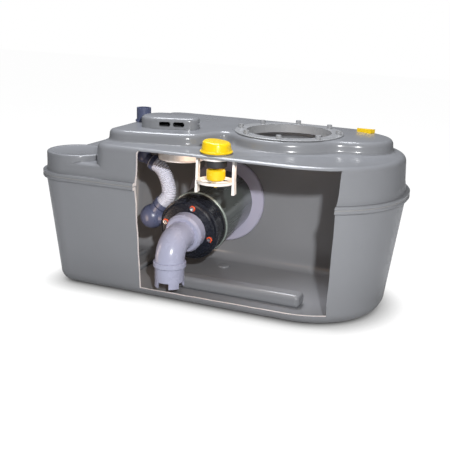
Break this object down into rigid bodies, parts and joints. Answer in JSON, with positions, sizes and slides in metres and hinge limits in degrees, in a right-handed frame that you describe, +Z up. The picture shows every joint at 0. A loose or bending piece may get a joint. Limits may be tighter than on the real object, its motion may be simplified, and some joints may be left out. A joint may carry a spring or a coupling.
{
  "type": "waste holding tank with macerator pump",
  "caption": "Waste holding tank cut open at the front to show a tilted macerator pump with suction elbow, ribbed discharge hose, float vent valve, filter hood and open inspection hatch.",
  "frame": {"origin": "centre of the tank's bounding box at the floor it stands on", "axes": "+X along the tank to its rounded right end, +Y to the back wall, +Z up through the hatch"},
  "size_m": [0.604, 0.312, 0.299],
  "materials": {
    "tank": "smooth moulded polyethylene, semi-gloss",
    "grey": "moulded plastic",
    "seam": "welded joint line",
    "rubber": "matt rubber",
    "white": "white moulded plastic",
    "yellow": "bright yellow moulded plastic",
    "tube": "dark polished metal tube",
    "pale": "pale lilac grey plastic",
    "black": "black plastic",
    "steel": "bright steel",
    "orange": "red-orange sealing washer",
    "ball": "rubber ball",
    "alu": "cast",
    "winding": "wound and varnished",
    "core": "laminated core",
    "pipe": "blue-grey waste pipe",
    "hose": "pale lilac grey ribbed hose"
  },
  "bodies": {
    "tank": {"tank_tub": "tank", "tank_cover": "tank", "vent_hood": "tank", "hatch_collar": "grey", "hatch_studs": "grey", "valve_housing": "grey", "seam_gasket": "seam", "hatch_gasket": "rubber", "filter_gasket": "rubber", "wall_gasket": "rubber", "housing_seal": "rubber", "shaft_seal": "rubber", "seat_ring": "rubber", "check_seat": "rubber", "filter_cartridge": "white", "float_cage": "white", "flow_marker": "yellow", "pump_tube": "tube", "wall_ring": "pale", "pump_housing": "black", "valve_elbow": "black", "outlet_stub": "black", "stub_nut": "black", "hose_clip_low": "black", "hose_clip_high": "black", "housing_screws": "steel", "front_bearing": "steel", "rear_bearing": "steel", "screw_washers": "orange", "bulkhead": "alu", "motor_plate": "alu", "stator": "winding", "elbow_collar": "pipe", "suction_spigot": "pipe", "suction_elbow": "pipe", "elbow_socket": "pipe", "suction_pipe": "pipe", "corrugated_hose": "hose"},
    "rotor": {"rotor_core": "core", "motor_shaft": "steel", "impeller": "black", "macerator_blade": "steel"},
    "knob": {"valve_knob": "yellow", "stem_clip": "steel"},
    "float": {"valve_float": "yellow"},
    "check": {"check_ball": "ball"}
  },
  "joints": [
    {"name": "rotor_spin", "type": "hinge", "parent": "tank", "child": "rotor", "pos_m": [-0.0646, 0.0086, 0.1014], "axis": [0, -0.9938, -0.1115], "continuous": true},
    {"name": "knob_turn", "type": "hinge", "parent": "tank", "child": "knob", "pos_m": [0.023, -0.115, 0.256], "axis": [0, 0, 1], "range_deg": [0, 90]},
    {"name": "float_rise", "type": "slide", "parent": "tank", "child": "float", "axis": [0, 0, 1], "range_m": [0, 0.0027]},
    {"name": "check_open", "type": "slide", "parent": "tank", "child": "check", "axis": [-1, 0, 0], "range_m": [0, 0.004]}
  ]
}
